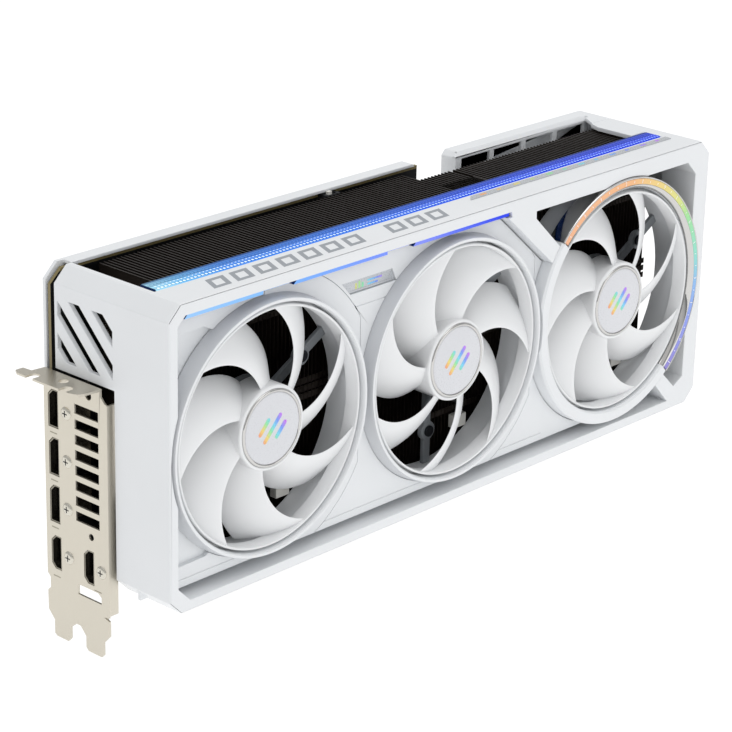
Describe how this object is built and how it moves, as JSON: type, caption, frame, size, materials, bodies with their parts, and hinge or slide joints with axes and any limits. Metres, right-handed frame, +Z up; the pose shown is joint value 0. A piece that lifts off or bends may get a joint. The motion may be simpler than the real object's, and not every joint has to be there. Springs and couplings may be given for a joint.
{
  "type": "graphics card",
  "caption": "Thick white expansion card with large axial fans, an open fin stack along the top edge, a lit edge bar and a two-slot screw bracket.",
  "frame": {"origin": "midway between the two screw notches of the bracket, on the top of its bent tab", "axes": "+X along the card away from the bracket, -Y towards the side the front fans blow from, +Z up from the edge connector to the lit edge"},
  "size_m": [0.3648, 0.0794, 0.1641],
  "materials": {
    "white_shell": "satin",
    "fan_white": "satin",
    "grey_mount": "satin",
    "chrome_trim": "polished",
    "rainbow_band": "gloss",
    "light_diffuser": "frosted",
    "edge_diffuser": "frosted",
    "inlay_strip": "frosted",
    "badge_plate": "satin",
    "hub_disc": "satin",
    "dark_fins": "anodised",
    "pipe_metal": "nickel plated",
    "black_board": "satin",
    "gold_contact": "gold plated",
    "package_green": "satin",
    "silicon": "polished",
    "chip_black": "matte",
    "thermal_pad": "matte",
    "capacitor_can": "satin",
    "socket_black": "matte",
    "socket_shell": "satin",
    "bracket_steel": "satin",
    "screw_steel": "satin",
    "dark_screw": "blackened",
    "clamp_steel": "satin",
    "bearing_bronze": "sintered",
    "motor_copper": "enamelled",
    "lead_black": "matte",
    "plug_white": "matte",
    "shaft_steel": "polished"
  },
  "bodies": {
    "card": {"shroud_frame": "white_shell", "front_panel": "white_shell", "duct_1": "white_shell", "duct_2": "white_shell", "duct_3": "white_shell", "ring_trim": "chrome_trim", "ring_band": "rainbow_band", "light_bar": "light_diffuser", "light_bar_board": "black_board", "edge_light": "edge_diffuser", "top_inlay": "inlay_strip", "plaque": "badge_plate", "fin_stack_main": "dark_fins", "fin_stack_rear": "dark_fins", "vapor_chamber": "pipe_metal", "heat_pipes": "pipe_metal", "pcb": "black_board", "edge_contacts": "gold_contact", "gpu_package": "package_green", "gpu_die": "silicon", "memory_chips": "chip_black", "thermal_pads": "thermal_pad", "inductors": "chip_black", "power_stages": "chip_black", "capacitors": "capacitor_can", "power_socket": "socket_black", "power_pins": "gold_contact", "dp_shells": "socket_shell", "dp_tongues": "socket_black", "hdmi_shells": "socket_shell", "hdmi_tongues": "socket_black", "io_bracket": "bracket_steel", "bracket_screws": "screw_steel", "backplate": "white_shell", "rear_fan_cover": "white_shell", "cover_screws": "dark_screw", "die_clamp": "clamp_steel", "fan_bases": "grey_mount", "fan_bearings": "bearing_bronze", "motor_stators": "motor_copper", "fan_leads": "lead_black", "fan_plugs": "plug_white", "fan_screws": "dark_screw", "switch_body": "socket_black"},
    "fan_1": {"rotor_1": "fan_white", "hub_cap_1": "hub_disc", "shaft_1": "shaft_steel", "hub_trim_1": "chrome_trim"},
    "fan_2": {"rotor_2": "fan_white", "hub_cap_2": "hub_disc", "shaft_2": "shaft_steel", "hub_trim_2": "chrome_trim"},
    "fan_3": {"rotor_3": "fan_white", "hub_cap_3": "hub_disc", "shaft_3": "shaft_steel", "hub_trim_3": "chrome_trim"},
    "fan_4": {"rotor_4": "fan_white", "hub_cap_4": "hub_disc", "shaft_4": "shaft_steel"},
    "mode_switch": {"switch_slider": "plug_white"}
  },
  "joints": [
    {"name": "fan_1_spin", "type": "hinge", "parent": "card", "child": "fan_1", "pos_m": [0.069, -0.05014, -0.0228], "axis": [0, -1, 0], "continuous": true},
    {"name": "fan_2_spin", "type": "hinge", "parent": "card", "child": "fan_2", "pos_m": [0.1835, -0.05014, -0.0228], "axis": [0, -1, 0], "continuous": true},
    {"name": "fan_3_spin", "type": "hinge", "parent": "card", "child": "fan_3", "pos_m": [0.298, -0.05014, -0.0228], "axis": [0, -1, 0], "continuous": true},
    {"name": "fan_4_spin", "type": "hinge", "parent": "card", "child": "fan_4", "pos_m": [0.298, 0.00766, -0.0228], "axis": [0, 1, 0], "continuous": true},
    {"name": "mode_switch_slide", "type": "slide", "parent": "card", "child": "mode_switch", "axis": [1, 0, 0], "range_m": [0, 0.003]}
  ]
}
